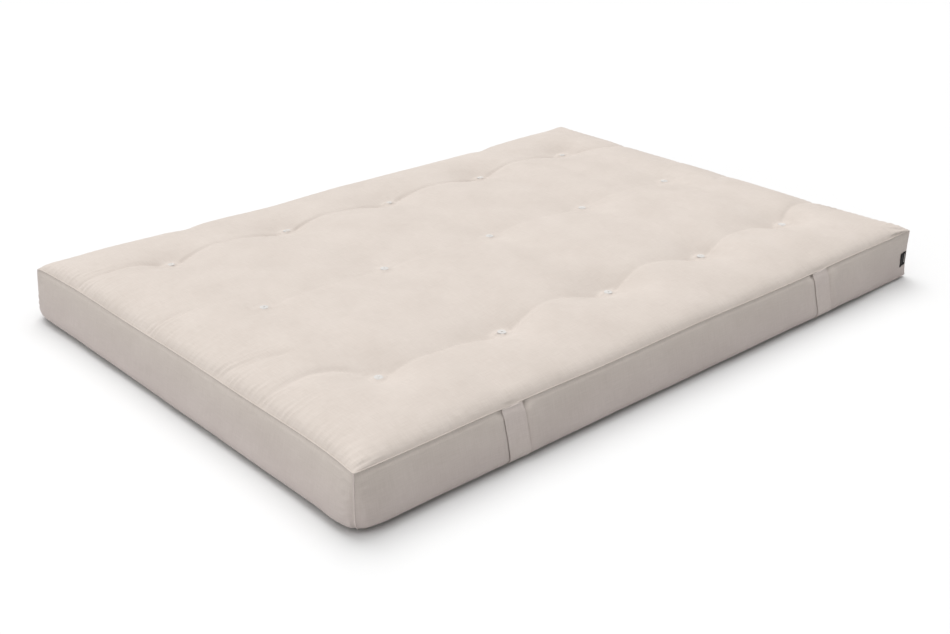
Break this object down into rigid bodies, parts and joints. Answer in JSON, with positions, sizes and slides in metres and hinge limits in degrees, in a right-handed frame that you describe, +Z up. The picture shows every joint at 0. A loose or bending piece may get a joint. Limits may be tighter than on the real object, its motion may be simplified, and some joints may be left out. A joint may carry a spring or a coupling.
{
  "type": "futon mattress",
  "caption": "Tufted futon mattress with a natural cotton casing, carry straps and a woven side label, filled with cotton batts over and under a coir core.",
  "frame": {"origin": "centre of the underside, on the floor", "axes": "+X along the length, +Y across to the long side without the label, +Z up"},
  "size_m": [2, 1.4046, 0.19],
  "materials": {
    "casing_cotton": "matte",
    "strap_cotton": "matte",
    "coir": "matte",
    "cotton_filling": "matte",
    "felt": "matte",
    "twine": "matte",
    "label_black": "matte"
  },
  "bodies": {
    "mattress": {"top_panel": "casing_cotton", "bottom_panel": "casing_cotton", "front_border": "casing_cotton", "back_border": "casing_cotton", "left_border": "casing_cotton", "right_border": "casing_cotton", "top_seam": "casing_cotton", "bottom_seam": "casing_cotton", "corner_seams": "casing_cotton", "coir_core": "coir", "core_wrap": "cotton_filling", "upper_batt_1": "cotton_filling", "upper_batt_2": "cotton_filling", "upper_batt_3": "cotton_filling", "lower_batt_1": "cotton_filling", "lower_batt_2": "cotton_filling", "lower_batt_3": "cotton_filling", "tuft_pads_top": "felt", "tuft_pads_bottom": "felt", "tuft_twines": "twine", "closing_stitches": "twine"},
    "front_handle_left": {"front_strap_left": "strap_cotton"},
    "front_handle_right": {"front_strap_right": "strap_cotton"},
    "back_handle_left": {"back_strap_left": "strap_cotton"},
    "back_handle_right": {"back_strap_right": "strap_cotton"},
    "label": {"woven_label": "label_black"}
  },
  "joints": [
    {"name": "front_left_pull", "type": "slide", "parent": "mattress", "child": "front_handle_left", "axis": [0, -1, 0], "range_m": [0, 0.028], "stiffness_N_per_m": 20},
    {"name": "front_right_pull", "type": "slide", "parent": "mattress", "child": "front_handle_right", "axis": [0, -1, 0], "range_m": [0, 0.028], "stiffness_N_per_m": 20},
    {"name": "back_left_pull", "type": "slide", "parent": "mattress", "child": "back_handle_left", "axis": [0, 1, 0], "range_m": [0, 0.028], "stiffness_N_per_m": 20},
    {"name": "back_right_pull", "type": "slide", "parent": "mattress", "child": "back_handle_right", "axis": [0, 1, 0], "range_m": [0, 0.028], "stiffness_N_per_m": 20},
    {"name": "label_flap", "type": "hinge", "parent": "mattress", "child": "label", "pos_m": [0.993, -0.7009, 0.0565], "axis": [0, 0, 1], "range_deg": [0, 150], "stiffness_Nm_per_rad": 0.0005}
  ]
}
